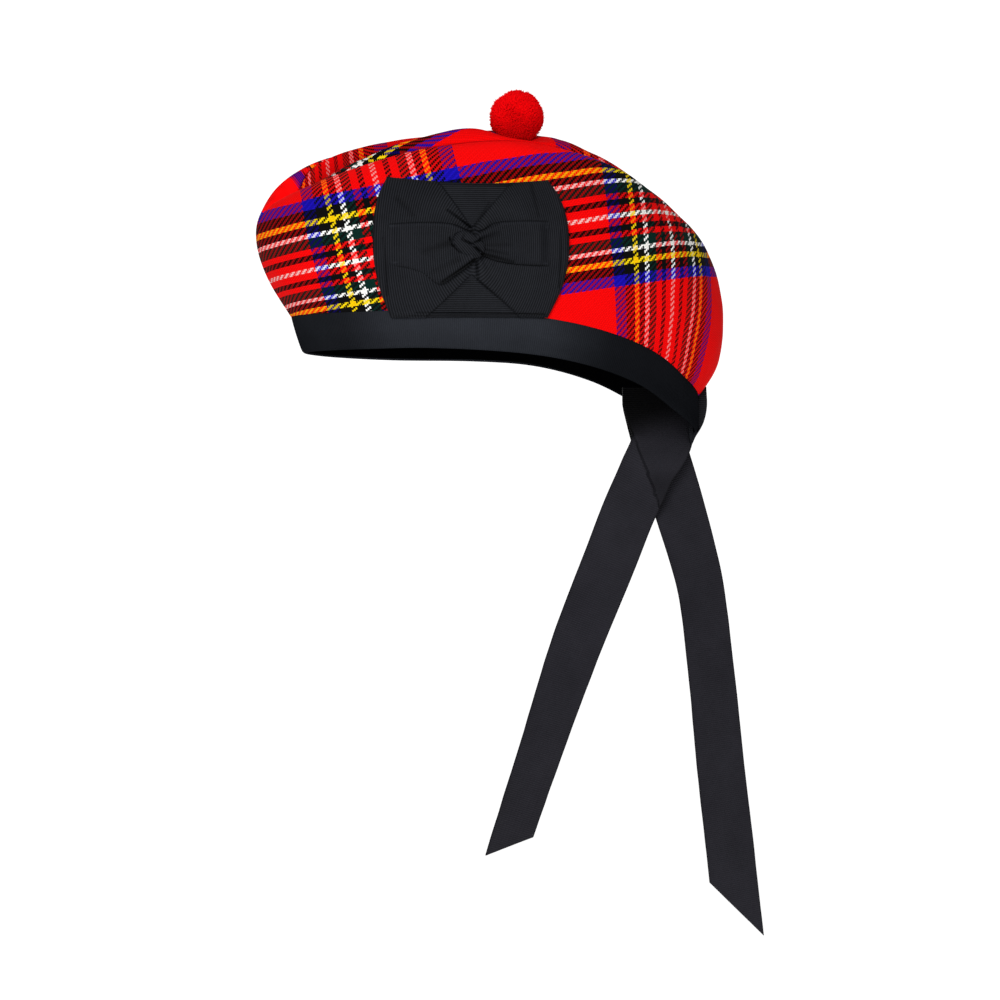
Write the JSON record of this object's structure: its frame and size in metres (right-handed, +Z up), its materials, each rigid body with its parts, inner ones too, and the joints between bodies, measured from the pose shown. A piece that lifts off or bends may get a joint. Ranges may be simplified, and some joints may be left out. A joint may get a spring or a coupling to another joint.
{
  "type": "glengarry cap",
  "caption": "Boat-shaped tartan wool cap with a creased crown, ribbon binding, side rosette, wool pompom and ribbon tails hanging behind.",
  "frame": {"origin": "middle of the head opening, level with the front of the rim", "axes": "+X to the back of the head, -Y to the wearer's left, where the rosette is, +Z up"},
  "size_m": [0.2707, 0.1818, 0.4421],
  "materials": {
    "side_panel_left": "red tartan twill",
    "side_panel_right": "red tartan twill",
    "top_panel": "red tartan twill",
    "band": "black ribbed ribbon",
    "rosette_base": "black ribbed ribbon",
    "rosette_bow": "black ribbed ribbon",
    "rosette_knot": "black ribbed ribbon",
    "pompom": "red cut wool yarn",
    "back_tie": "black ribbed ribbon",
    "tail_left": "black ribbed ribbon",
    "tail_right": "black ribbed ribbon"
  },
  "bodies": {
    "root": {"side_panel_left": "side_panel_left", "side_panel_right": "side_panel_right", "top_panel": "top_panel", "band": "band", "rosette_base": "rosette_base", "rosette_bow": "rosette_bow", "rosette_knot": "rosette_knot", "pompom": "pompom", "back_tie": "back_tie", "tail_left": "tail_left", "tail_right": "tail_right"}
  },
  "joints": []
}
